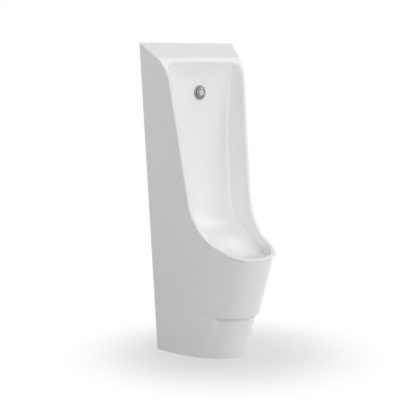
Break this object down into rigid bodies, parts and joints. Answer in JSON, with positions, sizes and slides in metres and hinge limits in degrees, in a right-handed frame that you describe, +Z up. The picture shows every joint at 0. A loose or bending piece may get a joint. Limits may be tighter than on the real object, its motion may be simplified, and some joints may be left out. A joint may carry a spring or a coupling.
{
  "type": "floor standing urinal",
  "caption": "Tall floor-standing urinal: tapered one-piece china body with a deep niche and scooped bowl, water spreader, lift-out drain strainer, trap behind and wall hangers.",
  "frame": {"origin": "centre of the foot's bounding rectangle, on the floor: half way across, and half way between the wall plane and the nose of the bowl", "axes": "+Z up, the open front faces -Y, the back plane that stands on the wall faces +Y, +X to the right as seen from the front"},
  "size_m": [0.4034, 0.3561, 1],
  "materials": {
    "china": "glossy white glaze",
    "chrome": "polished chrome plate",
    "stainless": "pressed stainless steel",
    "brass": "machined brass",
    "steel": "zinc plated steel",
    "rubber": "moulded black rubber",
    "trap_plastic": "moulded white polypropylene",
    "pad_plastic": "moulded grey nylon"
  },
  "bodies": {
    "urinal": {"china_body": "china", "spreader_gasket": "rubber", "spreader_flange": "chrome", "spreader_hood": "chrome", "spreader_cap": "chrome", "inlet_spud": "brass", "inlet_washer": "rubber", "inlet_backing_ring": "brass", "inlet_nut": "brass", "supply_seal": "rubber", "supply_coupling": "brass", "waste_gasket": "rubber", "waste_fitting": "chrome", "waste_washer": "rubber", "waste_backing_ring": "brass", "waste_nut": "brass", "trap_inlet_washer": "rubber", "trap_inlet_nut": "trap_plastic", "trap_u_bend": "trap_plastic", "cleanout_seal": "rubber", "cleanout_plug": "trap_plastic", "trap_joint_washer": "rubber", "trap_joint_nut": "trap_plastic", "trap_outlet_bend": "trap_plastic", "socket_seal": "rubber", "floor_ring": "rubber", "hanger_left": "steel", "hanger_right": "steel", "hanger_pads": "pad_plastic"},
    "strainer": {"strainer": "stainless"}
  },
  "joints": [
    {"name": "strainer_lift", "type": "slide", "parent": "urinal", "child": "strainer", "axis": [0, 0, 1], "range_m": [0, 0.09]}
  ]
}
